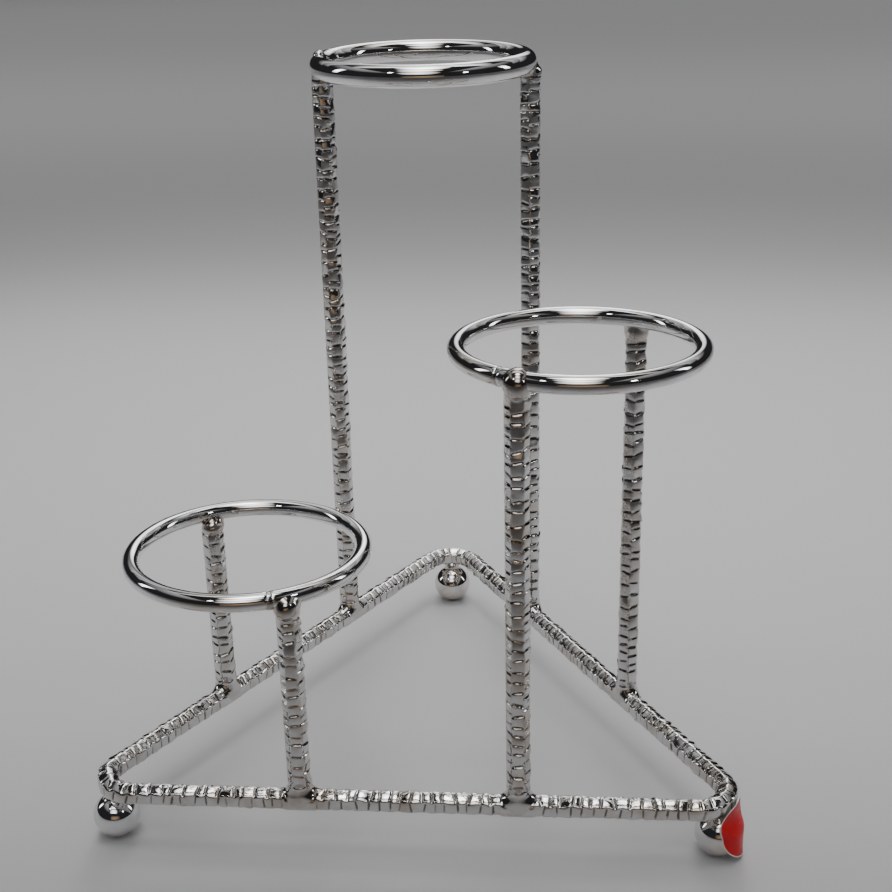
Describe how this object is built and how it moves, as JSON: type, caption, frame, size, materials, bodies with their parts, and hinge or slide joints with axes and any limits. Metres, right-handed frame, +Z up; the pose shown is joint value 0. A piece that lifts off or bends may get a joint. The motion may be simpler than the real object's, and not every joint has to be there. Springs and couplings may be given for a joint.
{
  "type": "tiered display stand",
  "caption": "Chrome wire display stand: a triangular base of bent textured rod on ball feet, with level rings held at rising heights on pairs of upright rods.",
  "frame": {"origin": "middle of the overall footprint, on the surface that the ball feet stand on", "axes": "+Z up; +X along the front side of the base, from the low ring's corner towards the mid ring's corner; +Y towards the back corner and the tall ring"},
  "size_m": [0.178, 0.1612, 0.1993],
  "materials": {
    "rod_chrome": "bright chrome plate over a rod rolled with short crosswise nicks",
    "wire_chrome": "smooth mirror-bright chrome plate",
    "ball_chrome": "smooth mirror-bright chrome plate",
    "weld_chrome": "chrome plate over a lumpy weld fillet",
    "label_paper": "red coated paper dot with a white cut edge"
  },
  "bodies": {
    "root": {"base_frame": "rod_chrome", "foot_left": "ball_chrome", "weld_foot_left": "weld_chrome", "foot_right": "ball_chrome", "weld_foot_right": "weld_chrome", "foot_back": "ball_chrome", "weld_foot_back": "weld_chrome", "ring_low": "wire_chrome", "seam_low": "weld_chrome", "ring_mid": "wire_chrome", "seam_mid": "weld_chrome", "ring_tall": "wire_chrome", "seam_tall": "weld_chrome", "post_low_front": "rod_chrome", "weld_low_front_foot": "weld_chrome", "weld_low_front_top": "weld_chrome", "post_low_rear": "rod_chrome", "weld_low_rear_foot": "weld_chrome", "weld_low_rear_top": "weld_chrome", "post_mid_front": "rod_chrome", "weld_mid_front_foot": "weld_chrome", "weld_mid_front_top": "weld_chrome", "post_mid_rear": "rod_chrome", "weld_mid_rear_foot": "weld_chrome", "weld_mid_rear_top": "weld_chrome", "post_tall_left": "rod_chrome", "weld_tall_left_foot": "weld_chrome", "weld_tall_left_top": "weld_chrome", "post_tall_right": "rod_chrome", "weld_tall_right_foot": "weld_chrome", "weld_tall_right_top": "weld_chrome", "label": "label_paper"}
  },
  "joints": []
}
